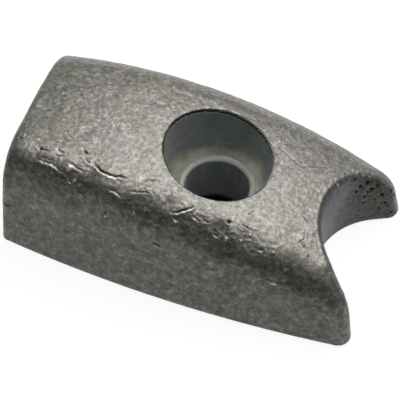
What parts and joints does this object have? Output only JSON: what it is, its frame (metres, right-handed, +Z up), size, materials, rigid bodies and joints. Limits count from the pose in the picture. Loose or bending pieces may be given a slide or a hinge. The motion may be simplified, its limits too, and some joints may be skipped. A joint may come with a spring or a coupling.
{
  "type": "sacrificial anode",
  "caption": "Barrel-sided anode block with a crowned top, a concave saddle end, and one bolt hole with a tapered recess for the bolt head.",
  "frame": {"origin": "on the flat base, on the axis of the bolt hole", "axes": "+Z up from the base, +X from the bolt hole towards the concave saddle end, -X towards the flat heel, Y across the casting"},
  "size_m": [0.053, 0.0308, 0.0185],
  "materials": {
    "cast_zinc": "as-cast, dull grey, rough"
  },
  "bodies": {
    "root": {"anode_casting": "cast_zinc"}
  },
  "joints": []
}
